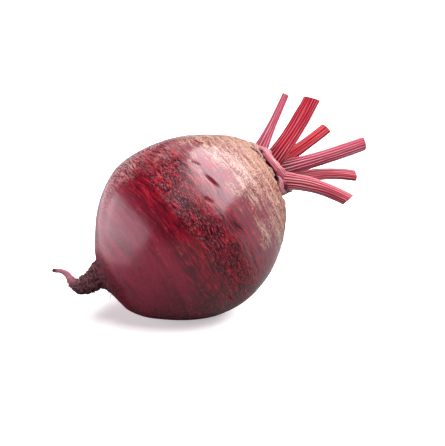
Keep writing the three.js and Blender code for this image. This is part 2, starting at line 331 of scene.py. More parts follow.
# Pits in the corky shoulder: degrees round, distance out from the rim, size, depth.
PITS = [
    (47, 8.9, 1.0, 0.9),
    (51, 7.6, 0.6, 0.6),
    (57, 8.0, 0.45, 0.5),
    (62, 7.2, 0.4, 0.4),
    (67, 6.6, 0.45, 0.5),
    (22, 8.6, 0.5, 0.5),
    (75, 5.8, 0.5, 0.5),
    (118, 8.6, 1.1, 1.3),
    (106, 6.6, 0.8, 1.0),
    (168, 7.2, 0.7, 1.0),
    (193, 4.2, 0.8, 1.1),
    (236, 5.8, 0.6, 0.9),
    (281, 4.6, 0.9, 1.2),
    (326, 6.1, 0.6, 0.9),
]
pit = 0
for pit_around, pit_out, size, depth in PITS:
    gone = (np.degrees(turn) - pit_around + 180) % 360 - 180
    sideways = np.radians(gone) * radius / (1.25 * size)
    hole = np.exp(-((sideways**2 + ((crown_out - pit_out + 0.3 * lumps) / size) ** 2) ** 1.5))
    root = root - outward(root) * (depth * hole)[..., None]
    pit = np.maximum(pit, hole)

root_rings = to_world(root)
root_rings[..., 2] = np.maximum(root_rings[..., 2], TABLE_GAP * MM)
crown_middle = to_world(root[0].mean(0))
withered_tip = to_world(root[-1].mean(0) + run[-1] * TIP_ROUNDING)
root_shares = {
    "grown": root,
    "rings": np.stack([root[..., 0], root[..., 1], distance + 0.9 * drift], -1),
    "cork": cork,
    "flesh": flesh,
    "crevice": np.maximum(crevice, pit),
    "tap": on_tap,
    "slit": slit,
    "paler_upside": paler_upside,
    "neck": soiled,
    "thin": pale_tip,
    "ridge": 0.5 + 0.5 * rim_lines,
    # The bowl of the crown inside the rim, where painted shade darkens the flesh between the stalks.
    "bowl_shade": 0.9 * smooth_step(rim - 0.2, rim - 3.2, distance + 0.6 * lumps),
    "rise": (height - LOWEST) / (HIGHEST - LOWEST),
}
beet_skin = skin("beet_skin", [(root_rings, crown_middle, withered_tip, root_shares)])
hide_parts("swollen_root")


def add(tree, kind, settings, inputs):
    """A new node with its settings. Inputs go by name or place, each as a value or as another's output."""
    made = tree.nodes.new("ShaderNode" + kind)
    for key, value in settings.items():
        setattr(made, key, value)
    for key, value in inputs.items():
        if isinstance(value, bpy.types.NodeSocket):
            tree.links.new(value, made.inputs[key])
        else:
            made.inputs[key].default_value = value
    return made


def read(tree, name):
    """The share that a mesh attribute gives."""
    return add(tree, "Attribute", {"attribute_name": name}, {}).outputs["Fac"]


def grain(tree, name, scale, detail=2.0, roughness=0.55):
    """Noise from 0 to 1 over the vector attribute of that name. Its scale is in waves a millimetre, in each
    direction."""
    place = add(tree, "Attribute", {"attribute_name": name}, {}).outputs["Vector"]
    spread = add(tree, "Mapping", {}, {"Vector": place, "Scale": scale}).outputs[0]
    waves = {"Vector": spread, "Scale": 1.0, "Detail": detail, "Roughness": roughness}
    return add(tree, "TexNoise", {}, waves).outputs["Fac"]


def between(tree, value, low, high, to_low=0.0, to_high=1.0):
    """Value carried from one range to another along a smooth S, and held at its ends."""
    ends = {"Value": value, "From Min": low, "From Max": high, "To Min": to_low, "To Max": to_high}
    return add(tree, "MapRange", {"interpolation_type": "SMOOTHSTEP"}, ends).outputs[0]


def sum_of(tree, a, b, share=1.0):
    """a plus a share of b."""
    return add(tree, "Math", {"operation": "MULTIPLY_ADD"}, {0: b, 1: share, 2: a}).outputs[0]


def product(tree, a, b):
    """a times b."""
    return add(tree, "Math", {"operation": "MULTIPLY"}, {0: a, 1: b}).outputs[0]


def mix(tree, share, a, b):
    """The colour at a share of the way from a to b. Each is three linear parts or another node's output."""
    a, b = [part if isinstance(part, bpy.types.NodeSocket) else (*part, 1) for part in (a, b)]
    return add(tree, "Mix", {"data_type": "RGBA"}, {"Factor": share, 6: a, 7: b}).outputs[2]


def new_material(name):
    """A material, its nodes and its surface shader."""
    material = bpy.data.materials.new(name)
    material.use_nodes = True
    return material, material.node_tree, material.node_tree.nodes["Principled BSDF"]


# The skin's colours, as linear red, green and blue, and the height of its finest relief.
CRIMSON = (0.165, 0.002, 0.008)
MAROON = (0.075, 0.002, 0.007)
NEAR_BLACK = (0.026, 0.002, 0.006)
BRIGHT_RED = (0.410, 0.008, 0.022)
MAUVE = (0.250, 0.012, 0.040)
PLUM = (0.135, 0.004, 0.018)
EARTH_RED = (0.290, 0.024, 0.030)
RUST = (0.260, 0.040, 0.024)
# Pale pink of the painted glints, light caught on tiny flakes of skin.
PAINTED_GLINT_PINK = (0.380, 0.100, 0.140)
UPPER_PALE_PINK = (0.450, 0.215, 0.220)
ROSY = (0.200, 0.070, 0.092)
BEIGE_PINK = (0.225, 0.066, 0.066)
CREAM = (0.465, 0.305, 0.240)
YELLOW_CORK = (0.370, 0.200, 0.085)
SALMON = (0.200, 0.042, 0.046)
RED_STREAK = (0.190, 0.024, 0.030)
CRACK_BROWN = (0.080, 0.022, 0.018)
RIM_PINK = (0.320, 0.045, 0.090)
PALE_RIDGE = (0.500, 0.250, 0.260)
# Painted shade in the crown's crevices and pits.
CREVICE_SHADE_MAROON = (0.040, 0.002, 0.007)
# Red of torn flesh, also used as the painted shade in the bowl of the crown.
TORN_RED_AND_BOWL_SHADE = (0.150, 0.004, 0.012)
BARK_BROWN = (0.130, 0.050, 0.058)
BARK_DARK = (0.030, 0.010, 0.013)
TIP_MAUVE = (0.330, 0.120, 0.150)
BRISTLE_HEIGHT = 0.14

root_material, tree, surface = new_material("beet_skin")
long_streaks = grain(tree, "rings", (0.05, 0.05, 0.55), 6.0, 0.66)
short_streaks = grain(tree, "rings", (0.20, 0.20, 1.2), 5.0, 0.66)
flecks = grain(tree, "rings", (0.70, 0.70, 2.6), 4.0, 0.7)
mottling = grain(tree, "rings", (0.03, 0.03, 0.14), 5.0, 0.62)
blotches = grain(tree, "grown", (0.35, 0.35, 0.35), 3.0)
specks = grain(tree, "grown", (0.9, 0.9, 0.9), 2.0)
crackle = grain(tree, "grown", (1.2, 1.2, 1.7), 4.0, 0.6)
arcs = grain(tree, "rings", (0.05, 0.05, 1.9), 4.0, 0.6)
upper_grain = grain(tree, "rings", (0.25, 0.25, 1.5), 5.0, 0.7)

# Streaks are plain to see from the waist up to the crown, and faint towards the tap root. The band below
# the shoulder is the roughest.
rise = read(tree, "rise")
lively = between(tree, rise, 0.26, 0.46, 0.14, 1.0)
rough_band = product(tree, between(tree, rise, 0.38, 0.49), between(tree, rise, 0.62, 0.54))
upper = mix(tree, between(tree, mottling, 0.40, 0.60), CRIMSON, MAROON)
lower = mix(tree, between(tree, mottling, 0.40, 0.62), MAUVE, PLUM)
lower = mix(tree, between(tree, arcs, 0.47, 0.38, 0.0, 0.35), lower, MAROON)
lower = mix(tree, between(tree, arcs, 0.55, 0.64, 0.0, 0.35), lower, EARTH_RED)
colour = mix(tree, lively, lower, upper)
bright = between(tree, short_streaks, 0.54, 0.62, 0.0, 0.8)
colour = mix(tree, product(tree, bright, lively), colour, BRIGHT_RED)
dark = between(tree, long_streaks, 0.48, 0.38, 0.0, 0.8)
colour = mix(tree, product(tree, dark, lively), colour, NEAR_BLACK)
dark = between(tree, short_streaks, 0.47, 0.39, 0.0, 0.95)
colour = mix(tree, product(tree, dark, lively), colour, NEAR_BLACK)
# Pale pink flecks in the rough band are painted glints: light caught on tiny flakes of skin.
bright = between(tree, flecks, 0.54, 0.62, 0.0, 0.55)
colour = mix(tree, product(tree, bright, rough_band), colour, PAINTED_GLINT_PINK)
dark = between(tree, flecks, 0.46, 0.39, 0.0, 0.90)
colour = mix(tree, product(tree, dark, rough_band), colour, NEAR_BLACK)
# Pale pink streaks over the upper side.
upper_streaks = between(tree, sum_of(tree, upper_grain, crackle, 0.3), 0.58, 0.74, 0.0, 0.95)
colour = mix(tree, product(tree, upper_streaks, read(tree, "paler_upside")), colour, UPPER_PALE_PINK)
streaky_rise = sum_of(tree, sum_of(tree, rise, long_streaks, 0.25), short_streaks, 0.15)
colour = mix(tree, between(tree, streaky_rise, 0.74, 0.87, 0.0, 0.72), colour, ROSY)
bright = between(tree, short_streaks, 0.53, 0.60, 0.0, 0.40)
colour = mix(tree, product(tree, bright, lively), colour, BRIGHT_RED)
colour = mix(tree, between(tree, blotches, 0.62, 0.74, 0.0, 0.35), colour, RUST)
colour = mix(tree, between(tree, specks, 0.33, 0.27, 0.0, 0.6), colour, NEAR_BLACK)

# Cork: pale flakes and brown cracks over a pink ground, yellow near the crown.
cork_share = sum_of(tree, read(tree, "cork"), sum_of(tree, long_streaks, short_streaks, 0.9), 1.3)
cork_share = between(tree, cork_share, 1.42, 2.04)
cork_colour = mix(tree, between(tree, mottling, 0.47, 0.62), BEIGE_PINK, SALMON)
cork_colour = mix(tree, between(tree, long_streaks, 0.46, 0.59, 0.0, 0.95), cork_colour, CREAM)
cork_colour = mix(tree, between(tree, short_streaks, 0.48, 0.64, 0.0, 0.80), cork_colour, RED_STREAK)
cork_colour = mix(tree, between(tree, crackle, 0.47, 0.62, 0.0, 0.8), cork_colour, CREAM)
yellow = between(tree, sum_of(tree, blotches, crackle, 0.7), 0.84, 0.96, 0.0, 0.6)
near_crown = between(tree, rise, 0.80, 0.92)
cork_colour = mix(tree, product(tree, near_crown, yellow), cork_colour, YELLOW_CORK)
cork_colour = mix(tree, between(tree, short_streaks, 0.46, 0.37, 0.0, 0.8), cork_colour, CRACK_BROWN)
cork_colour = mix(tree, between(tree, crackle, 0.44, 0.37, 0.0, 0.85), cork_colour, CRACK_BROWN)
colour = mix(tree, cork_share, colour, cork_colour)

# Specks of soil on the neck, the flesh of the crown with painted shade in its bowl between the stalks, the
# bark of the tap root, and what is torn open.
soil = product(tree, between(tree, sum_of(tree, specks, crackle, 0.6), 0.82, 0.70), read(tree, "neck"))
colour = mix(tree, soil, colour, BARK_DARK)
flesh_colour = mix(tree, read(tree, "ridge"), RIM_PINK, PALE_RIDGE)
# Painted shade: the bowl of the crown between the stalks' feet is darkened to torn red.
flesh_colour = mix(tree, read(tree, "bowl_shade"), flesh_colour, TORN_RED_AND_BOWL_SHADE)
colour = mix(tree, read(tree, "flesh"), colour, flesh_colour)
bark = mix(tree, between(tree, specks, 0.34, 0.66), BARK_DARK, BARK_BROWN)
bark = mix(tree, read(tree, "thin"), bark, TIP_MAUVE)
colour = mix(tree, read(tree, "tap"), colour, bark)
colour = mix(tree, between(tree, read(tree, "slit"), 0.05, 0.45), colour, TORN_RED_AND_BOWL_SHADE)
# Crevices and pits are painted dark, wider than their dents: painted shade in the hollows.
colour = mix(tree, between(tree, read(tree, "crevice"), 0.08, 0.45), colour, CREVICE_SHADE_MAROON)
tree.links.new(colour, surface.inputs["Base Color"])

# The skin is smooth and glossy, and dry and dull where it is cork, bark or torn.
rough_skin = between(tree, blotches, 0.3, 0.7, 0.16, 0.21)
rough_skin = sum_of(tree, rough_skin, between(tree, rise, 0.45, 0.20), 0.08)
rough_cork = sum_of(tree, rough_skin, between(tree, rise, 0.74, 0.86), 0.30)
rough_bark = sum_of(tree, sum_of(tree, rough_cork, read(tree, "neck"), 0.25), read(tree, "tap"), 0.25)
tree.links.new(rough_bark, surface.inputs["Roughness"])
dull = sum_of(tree, read(tree, "crevice"), read(tree, "neck"), 0.7)
dull = sum_of(tree, dull, read(tree, "slit"))
dull = sum_of(tree, sum_of(tree, dull, read(tree, "cork"), 0.5), rough_band, 0.5)
tree.links.new(between(tree, dull, 0.1, 0.8, 0.62, 0.12), surface.inputs["Specular IOR Level"])
surface.inputs["Specular IOR Level"].default_value = 0.6
surface.inputs["Specular Tint"].default_value = (1, 0.82, 0.88, 1)
in_band = product(tree, between(tree, flecks, 0.50, 0.66), rough_band)
bristles = sum_of(tree, product(tree, short_streaks, lively), in_band, 0.9)
bristles = product(tree, bristles, between(tree, rise, 0.54, 0.62, 1.0, 0.35))
bristles = sum_of(tree, bristles, product(tree, crackle, between(tree, rise, 0.76, 0.88)), 3.0)
bristles = sum_of(tree, bristles, arcs, 0.08)
raised = {"Height": bristles, "Distance": BRISTLE_HEIGHT * MM, "Strength": 0.7}
tree.links.new(add(tree, "Bump", {}, raised).outputs[0], surface.inputs["Normal"])
beet_skin.data.materials.append(root_material)


# Rootlets: dry hairs on the tap root and under it, each thinner than a thread. They are root tissue that
# grew out of the bark, each a tapered rod along a curve that leaves the bark and droops.
ROOTLETS = 46
ROOTLET_ROWS = 14
ROOTLET_COLUMNS = 6
ROOTLET_RADIUS = 0.13
ROOTLET_TAPER = 0.75
ROOTLET_SUNK = 0.2
SHORTEST_ROOTLET = 1.8
LONGEST_ROOTLET = 5.0
ROOTLET_BROWN = (0.120, 0.045, 0.050)
ROOTLET_TAN = (0.440, 0.210, 0.190)

# The last rings of the tap root, at its withered tip, bear no rootlets.
BARE_ROWS = 24
down = np.array([0, 0, -1.0]) @ LYING
draws = np.random.default_rng(14)
tap_rows = np.flatnonzero(places > globe_end + 1)[:-BARE_ROWS]
hairs = []
for _ in range(ROOTLETS):
    row = draws.choice(tap_rows)
    column = draws.integers(ROOT_COLUMNS)
    start = root[row, column]
    away = outward(root[row - 1 : row + 2])[1, column]
    sidelong = np.cross(away, run[row]) * draws.choice([-1, 1])
    reach_out = draws.uniform(SHORTEST_ROOTLET, LONGEST_ROOTLET)
    t = np.linspace(0, 1, ROOTLET_ROWS)[:, None]
    bend = draws.uniform(-0.5, 0.5, 3)
    line = (
        start
        - ROOTLET_SUNK * away
        + reach_out * t * (0.55 * away + 0.6 * sidelong + 0.3 * bend)
        + reach_out * t**2 * (0.55 * down - 0.35 * away)
    )
    turn = 2 * np.pi * np.arange(ROOTLET_COLUMNS) / ROOTLET_COLUMNS
    thickness = ROOTLET_RADIUS * (1 - ROOTLET_TAPER * t)
    along = unit(np.gradient(line, axis=0))
    first_side = unit(np.cross(along, bend + away))
    second_side = np.cross(first_side, along)
    rings = (
        line[:, None]
        + first_side[:, None] * (thickness * np.cos(turn))[..., None]
        + second_side[:, None] * (thickness * np.sin(turn))[..., None]
    )
    placed = to_world(rings)
    placed[..., 2] = np.maximum(placed[..., 2], TABLE_GAP * MM)
    hairs.append((placed, placed[0].mean(0), placed[-1].mean(0), {"fibre": rings}))
rootlets = skin("rootlets", hairs)
rootlet_material, tree, surface = new_material("rootlets")
shade = between(tree, grain(tree, "fibre", (0.6, 0.6, 0.6)), 0.4, 0.6)
tree.links.new(mix(tree, shade, ROOTLET_BROWN, ROOTLET_TAN), surface.inputs["Base Color"])
surface.inputs["Roughness"].default_value = 0.7
rootlets.data.materials.append(rootlet_material)


# The leaf stalks: six petioles cut off short with a knife. Each is a juicy stem, ribbed outside and with a
# shallow channel inside, that flares where it grows out of the crown. Its cut end is paler than its skin.
STALKS = [
    {
        "foot": (8.1, 4.6, 40),
        "middle": (15.7, 5.3, 53.6),
        "tip": (23.1, 6.0, 66.2),
        "faces": (0.5, 0.85, 0),
        "width": 3.0,
        "depth": 2.8,
        "foot_width": 9.4,
        "slant": 0.05,
        "channel": 0.28,
        "ribs": 13,
        "ridge": (0.640, 0.300, 0.340),
        "flesh": (0.460, 0.070, 0.120),
        "groove": (0.370, 0.030, 0.070),
        "foot_painted_shade": 0.15,
    },
    {
        "foot": (1.4, 3.6, 40),
        "middle": (7.4, 5.4, 57.7),
        "tip": (15.2, 8.0, 74.2),
        "faces": (0.2, 1, 0),
        "width": 7.0,
        "depth": 4.6,
        "foot_width": 10.0,
        "slant": -0.2,
        "channel": 0.28,
        "ribs": 18,
        "ridge": (0.620, 0.190, 0.220),
        "flesh": (0.480, 0.014, 0.038),
        "groove": (0.260, 0.005, 0.017),
        "foot_painted_shade": 0.97,
    },
    {
        "foot": (1.2, -5.8, 40),
        "middle": (0.9, -8.6, 60.0),
        "tip": (1.6, -12.5, 78.1),
        "faces": (0.2, -1, 0),
        "width": 4.9,
        "depth": 4.1,
        "foot_width": 7.4,
        "slant": 0.25,
        "channel": 0.08,
        "ribs": 12,
        "ridge": (0.540, 0.080, 0.100),
        "flesh": (0.400, 0.005, 0.015),
        "groove": (0.240, 0.003, 0.010),
        "foot_painted_shade": 0.8,
    },
    {
        "foot": (0.6, -1.2, 40),
        "middle": (-7.0, -2.3, 62.4),
        "tip": (-13.6, -4.0, 85.6),
        "faces": (-0.3, 0.95, 0),
        "width": 5.7,
        "depth": 4.4,
        "foot_width": 9.6,
        "slant": 0.1,
        "channel": 0.28,
        "ribs": 17,
        "ridge": (0.600, 0.290, 0.330),
        "flesh": (0.390, 0.030, 0.075),
        "groove": (0.250, 0.010, 0.032),
        "foot_painted_shade": 0.9,
    },
    {
        "foot": (-5.0, -6.0, 40),
        "middle": (-12.1, -8.6, 60.0),
        "tip": (-23.0, -12.0, 76.3),
        "faces": (-0.6, -0.8, 0),
        "width": 5.1,
        "depth": 4.4,
        "foot_width": 9.4,
        "slant": 0.12,
        "channel": 0.05,
        "ribs": 16,
        "ridge": (0.580, 0.230, 0.270),
        "flesh": (0.380, 0.012, 0.034),
        "groove": (0.160, 0.003, 0.013),
        "foot_painted_shade": 0.95,
    },
    {
        "foot": (-4.5, 7.2, 40),
        "middle": (-14.9, 8.4, 51.8),
        "tip": (-29.0, 9.0, 61.2),
        "faces": (-0.5, 0.86, 0),
        "width": 5.3,
        "depth": 4.4,
        "foot_width": 9.4,
        "slant": 0.38,
        "channel": 0.28,
        "ribs": 18,
        "ridge": (0.660, 0.320, 0.340),
        "flesh": (0.490, 0.060, 0.095),
        "groove": (0.280, 0.010, 0.032),
        "foot_painted_shade": 0.35,
    },
]
STALK_ROWS = 110
STALK_COLUMNS = 208
STALK_UNEVENNESS = 0.10
FLARE_SHARPNESS = 3.6

# The inner side is flatter, and the channel takes this share of its width.
INNER_FULLNESS = 0.75
CHANNEL_WIDTH = 0.4

# Ribs are this high on stalks of the full width, and lower on narrower ones.
RIB_HEIGHT = 0.34
RIB_MIDDLE = 0.45
FULL_RIB_WIDTH = 5.0

# Rings of the cut end, from its edge to its middle: share of the outline, and height over the knife's cut.
CUT_RINGS = [
    (0.985, 0.1),
    (0.95, 0.16),
    (0.88, 0.1),
    (0.76, 0.02),
    (0.6, -0.08),
    (0.42, -0.14),
    (0.22, -0.16),
]
CUT_MIDDLE = -0.16
CUT_UNEVENNESS = 0.05
PITH_PALE = (0.800, 0.420, 0.400)
PITH_RED = (0.620, 0.140, 0.180)
# How dark the painted shade in a stalk's grooves gets at its foot.
FOOT_PAINTED_SHADE = 0.9
FIBRE_HEIGHT = 0.25


def swept(line, faces, wide, deep):
    """Rings along a line, and the line's direction. Each ring stands square to the line, with its flat
    outline given as distances across and towards the side it faces."""
    along = unit(np.gradient(line, axis=0))
    faces = unit(np.asarray(faces, float))
    out = unit(faces - np.sum(faces * along, axis=-1, keepdims=True) * along)
    across = np.cross(out, along)
    return line[:, None] + across[:, None] * wide[..., None] + out[:, None] * deep[..., None], along


def ribs(count, turn, length, seed):
    """Height of a stalk's long ribs, from 0 to about 1: a cosine round the stalk that sways along it, and a
    finer one between."""
    circle = np.stack([np.cos(turn) + 0 * length, np.sin(turn) + 0 * length, 0.03 * length], -1)
    sway = 1.1 * noise(circle * 2.2, 1.0, seed, 2)
    strength = 0.78 + 0.38 * noise(circle * 2.6, 1.0, seed + 7)
    broad_ribs = 0.5 + 0.5 * np.cos(count * turn + sway)
    fine_ribs = 0.5 + 0.5 * np.cos(2.6 * count * turn + 3.0 * sway)
    return strength * broad_ribs**1.6 * 0.75 + 0.25 * fine_ribs


def stalk_material(name, ridge_colour, flesh_colour, groove_colour, foot_painted_shade=FOOT_PAINTED_SHADE):
    """Skin of a stalk: pale ribs, deeper grooves and fine fibres along it, with painted shade in the
    grooves towards the foot, and a pale cut end."""
    material, tree, surface = new_material(name)
    fibres = grain(tree, "fibre", (1.4, 1.4, 0.05), 3.0)
    cloud = grain(tree, "fibre", (0.25, 0.25, 0.12), 2.0)
    ridge = sum_of(tree, read(tree, "ridge"), fibres, 0.8)
    colour = mix(tree, between(tree, ridge, 0.42, 0.70), groove_colour, flesh_colour)
    colour = mix(tree, between(tree, ridge, 0.86, 1.14), colour, ridge_colour)
    colour = mix(tree, between(tree, cloud, 0.45, 0.7, 0.0, 0.4), colour, flesh_colour)
    # Painted shade: the grooves darken towards the foot, where the stalks crowd together.
    foot_shade = between(tree, read(tree, "rise"), 0.45, 0.12, 0.0, foot_painted_shade)
    deep = between(tree, ridge, 1.12, 0.72)
    colour = mix(tree, product(tree, foot_shade, deep), colour, [0.25 * part for part in groove_colour])
    pith = grain(tree, "fibre", (1.5, 1.5, 1.5), 2.0)
    pale_cut = mix(tree, between(tree, pith, 0.4, 0.65), PITH_PALE, PITH_RED)
    colour = mix(tree, read(tree, "cut"), colour, pale_cut)
    tree.links.new(colour, surface.inputs["Base Color"])
    surface.inputs["Roughness"].default_value = 0.32
    surface.inputs["Specular IOR Level"].default_value = 0.35
    surface.inputs["Specular Tint"].default_value = (1, 0.6, 0.66, 1)
    raised = {"Height": fibres, "Distance": FIBRE_HEIGHT * MM, "Strength": 0.5}
    tree.links.new(add(tree, "Bump", {}, raised).outputs[0], surface.inputs["Normal"])
    return material


for number, stalk in enumerate(STALKS, 1):
    foot, middle, tip = [np.array(stalk[key], float) for key in ("foot", "middle", "tip")]
    pull = 2 * middle - 0.5 * foot - 0.5 * tip
    t = np.linspace(0, 1, STALK_ROWS)[:, None]
    line = (1 - t) ** 2 * foot + 2 * t * (1 - t) * pull + t**2 * tip
    turn = 2 * np.pi * np.arange(STALK_COLUMNS) / STALK_COLUMNS
    length = np.linalg.norm(tip - foot) * t + 0 * turn
    width = stalk["width"] + (stalk["foot_width"] - stalk["width"]) * np.exp(-FLARE_SHARPNESS * t)
    rib = ribs(stalk["ribs"], turn, length, 60 + number)
    inner = np.sin(turn) < 0
    channel = inner * stalk["channel"] * stalk["depth"] * np.exp(-((np.cos(turn) / CHANNEL_WIDTH) ** 2))
    lengthwise = np.stack([0 * length + line[:, None, 0], 0 * length, length], -1)
    bumps = STALK_UNEVENNESS * noise(lengthwise, 7.0, 80 + number)
    raised = bumps + RIB_HEIGHT * min(1, stalk["width"] / FULL_RIB_WIDTH) * (rib - RIB_MIDDLE)
    wide = (0.5 * width + raised) * np.cos(turn)
    deep = (0.5 * stalk["depth"] + raised) * np.sin(turn) * np.where(inner, INNER_FULLNESS, 1) + channel
    grid, along = swept(line, stalk["faces"], wide, deep)
    grid[-1] += along[-1] * (stalk["slant"] * wide[-1])[:, None]
    grid[-2] += along[-2] * (0.5 * stalk["slant"] * wide[-2])[:, None]
    share, over_cut = np.moveaxis(np.array(CUT_RINGS)[:, :, None, None], 1, 0)
    wavy = CUT_UNEVENNESS * np.cos(5 * turn + number)[:, None]
    cut = tip + share * (grid[-1] - tip) + along[-1] * (over_cut + wavy * share)
    cut_middle = to_world(tip + along[-1] * CUT_MIDDLE)
    fibre = np.stack([wide, deep, length], -1)
    cut_fibre = share * fibre[-1]
    cut_fibre[..., 2] = length[-1, 0]
    cut_rows = np.ones((len(CUT_RINGS), 1))
    end_share = np.concatenate([np.zeros(STALK_ROWS), np.linspace(0.5, 1, len(CUT_RINGS)) ** 0.4])
    stalk_rings = to_world(np.concatenate([grid, cut])[:, ::-1])
    stalk_shares = {
        "fibre": np.concatenate([fibre, cut_fibre])[:, ::-1],
        "ridge": np.concatenate([rib, rib[-1] * cut_rows])[:, ::-1],
        "rise": np.concatenate([t, cut_rows]) + 0 * turn,
        "cut": end_share[:, None] + 0 * turn,
    }
    piece = skin(f"stalk_skin_{number}", [(stalk_rings, to_world(foot), cut_middle, stalk_shares)])
    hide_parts(f"leaf_stalk_{number}")
    colours = stalk["ridge"], stalk["flesh"], stalk["groove"]
    piece.data.materials.append(stalk_material(f"stalk_skin_{number}", *colours, stalk["foot_painted_shade"]))


# The clasping leaf base: a ribbed pink fold that runs from the first stalk over the front of the rim into
# the foot of the sixth, with the crevice of the crown below it. It grew from the same flesh as the stalks.
# Each station has degrees round the axis, distance from it, height, width, thickness.
SHEATH = [
    (20, 9.8, 46.0, 1.6, 0.8),
    (29, 10.8, 45.2, 3.6, 1.2),
    (40, 11.3, 44.3, 4.3, 1.4),
    (55, 11.3, 43.6, 4.2, 1.3),
    (70, 11.4, 43.3, 4.0, 1.2),
    (85, 11.4, 43.3, 4.0, 1.2),
    (99, 11.4, 43.4, 4.4, 1.5),
    (112, 11.0, 43.8, 4.8, 1.8),
    (122, 10.3, 44.3, 4.4, 1.6),
    (133, 9.6, 44.9, 3.2, 1.2),
    (144, 9.4, 45.4, 1.2, 0.7),
]
SHEATH_LEAN = 0.64
SHEATH_RIBS = 16
SHEATH_UNEVENNESS = 0.26
SHEATH_RISE = 0.45
SHEATH_ROWS = 150
SHEATH_COLUMNS = 110
SHEATH_RIDGE = (0.600, 0.320, 0.330)
SHEATH_FLESH = (0.380, 0.055, 0.095)
SHEATH_GROOVE = (0.180, 0.008, 0.024)
sheath_around, sheath_out, sheath_height, sheath_width, sheath_depth = np.array(SHEATH).T
sheath_round = np.stack([np.cos(np.radians(sheath_around)), np.sin(np.radians(sheath_around))], -1)
sheath_line = np.column_stack([sheath_round * sheath_out[:, None], sheath_height])
spans = np.concatenate([[0], np.cumsum(np.linalg.norm(np.diff(sheath_line, axis=0), axis=1))])
steps = np.linspace(0, spans[-1], SHEATH_ROWS)
sheath_faces = np.column_stack([sheath_round, np.full(len(SHEATH), SHEATH_LEAN)])
sheath_rows, _ = through(np.column_stack([sheath_line, sheath_width, sheath_depth, sheath_faces]), steps)
turn = 2 * np.pi * np.arange(SHEATH_COLUMNS) / SHEATH_COLUMNS
length = steps[:, None] + 0 * turn
rib = ribs(SHEATH_RIBS, turn, length, 91)
lengthwise = np.stack([1.2 * np.cos(turn) + 0 * length, 0 * length, 0.25 * length], -1)
bumps = SHEATH_UNEVENNESS * noise(lengthwise, 1.0, 95, 3)
raised = bumps + RIB_HEIGHT * (rib - RIB_MIDDLE)
wide = (0.5 * sheath_rows[:, 3:4] + raised) * np.cos(turn)
deep = (0.5 * sheath_rows[:, 4:5] + raised) * np.sin(turn)
grid, _ = swept(sheath_rows[:, :3], sheath_rows[:, 5:8], wide, deep)
sheath_ends = to_world(grid[0].mean(0)), to_world(grid[-1].mean(0))
sheath_shares = {
    "fibre": np.stack([wide, deep, length], -1)[:, ::-1],
    "ridge": rib[:, ::-1],
    "rise": SHEATH_RISE + 0 * length,
    "cut": 0 * length,
}
leaf_sheath = skin("leaf_sheath", [(to_world(grid[:, ::-1]), *sheath_ends, sheath_shares)])
sheath_material = stalk_material("leaf_sheath", SHEATH_RIDGE, SHEATH_FLESH, SHEATH_GROOVE)
leaf_sheath.data.materials.append(sheath_material)


# Old leaf bases: short torn scales that ring the rim where outer leaves were pulled off. They are flesh of
# the crown, dark red, with painted shade in their grooves below, and paler at the torn edge.
# Each has degrees round, distance from the axis, width, height, thickness, and how far its tip leans out.
LEAF_BASES = [
    (356, 13.8, 6.0, 0.3, 3.6, -0.3),
    (139, 12.9, 7.0, 0.7, 2.8, -0.4),
    (160, 12.3, 5.2, 0.8, 2.2, 0.1),
    (176, 11.9, 5.6, 2.2, 1.6, 0.6),
    (203, 11.6, 6.4, 3.4, 1.6, 0.8),
    (231, 12.2, 4.6, 1.4, 1.6, 2.4),
    (256, 11.7, 6.0, 3.6, 1.7, 0.9),
    (285, 12.1, 5.0, 1.6, 1.6, 2.0),
    (312, 11.8, 6.2, 3.2, 1.6, 0.8),
    (338, 12.3, 4.8, 1.8, 1.5, 1.6),
]
SCALE_FOOT = 41.2
SCALE_SUNK = 2.0
SCALE_RIBS = 9
SCALE_RIB_HEIGHT = 0.2
SCALE_TAPER = 0.7
SCALE_DENT = 0.3
SCALE_ROWS = 26
SCALE_COLUMNS = 56
SCALE_RIDGE = (0.420, 0.180, 0.170)
SCALE_FLESH = (0.260, 0.020, 0.045)
SCALE_GROOVE = (0.090, 0.004, 0.012)
scales = []
for number, (scale_around, scale_out, scale_width, scale_height, thickness, lean) in enumerate(LEAF_BASES):
    angle = np.radians(scale_around)
    outwards = np.array([np.cos(angle), np.sin(angle), 0])
    t = np.linspace(0, 1, SCALE_ROWS)[:, None]
    leaning = outwards * (scale_out - 0.9 * (1 - t) + lean * t**2)
    line = leaning + np.array([0, 0, SCALE_FOOT]) + t * (0, 0, scale_height + SCALE_SUNK)
    turn = 2 * np.pi * np.arange(SCALE_COLUMNS) / SCALE_COLUMNS
    length = (scale_height + SCALE_SUNK) * t + 0 * turn
    rib = ribs(SCALE_RIBS, turn, length, 120 + number)
    raised = SCALE_RIB_HEIGHT * (rib - RIB_MIDDLE)
    wide = (0.5 * scale_width * (1 - SCALE_TAPER * t**1.8) + raised) * np.cos(turn)
    deep = (0.5 * thickness * (1 - SCALE_TAPER * t**1.5) + raised) * np.sin(turn)
    grid, _ = swept(line, outwards, wide, deep)
    grid = grid - outwards * (wide**2 / (2 * scale_out))[..., None]
    tear = noise(np.stack([2.0 * wide, 0 * wide, 0 * wide + 3.0 * number], -1), 1.0, 130, 3)
    grid = grid + np.array([0, 0, 1.0]) * (0.55 * tear * t**3 * scale_height / 3)[..., None]
    scale_ends = to_world(grid[0].mean(0)), to_world(grid[-1].mean(0) - (0, 0, SCALE_DENT))
    scale_shares = {
        "fibre": np.stack([wide, deep, length], -1)[:, ::-1],
        "ridge": rib[:, ::-1],
        "rise": 0.5 * t + 0 * turn,
        "cut": 0.6 * smooth_step(0.75, 1.0, t) + 0 * turn,
    }
    scales.append((to_world(grid[:, ::-1]), *scale_ends, scale_shares))
old_leaf_bases = skin("old_leaf_bases", scales)
scale_material = stalk_material("old_leaf_bases", SCALE_RIDGE, SCALE_FLESH, SCALE_GROOVE)
old_leaf_bases.data.materials.append(scale_material)


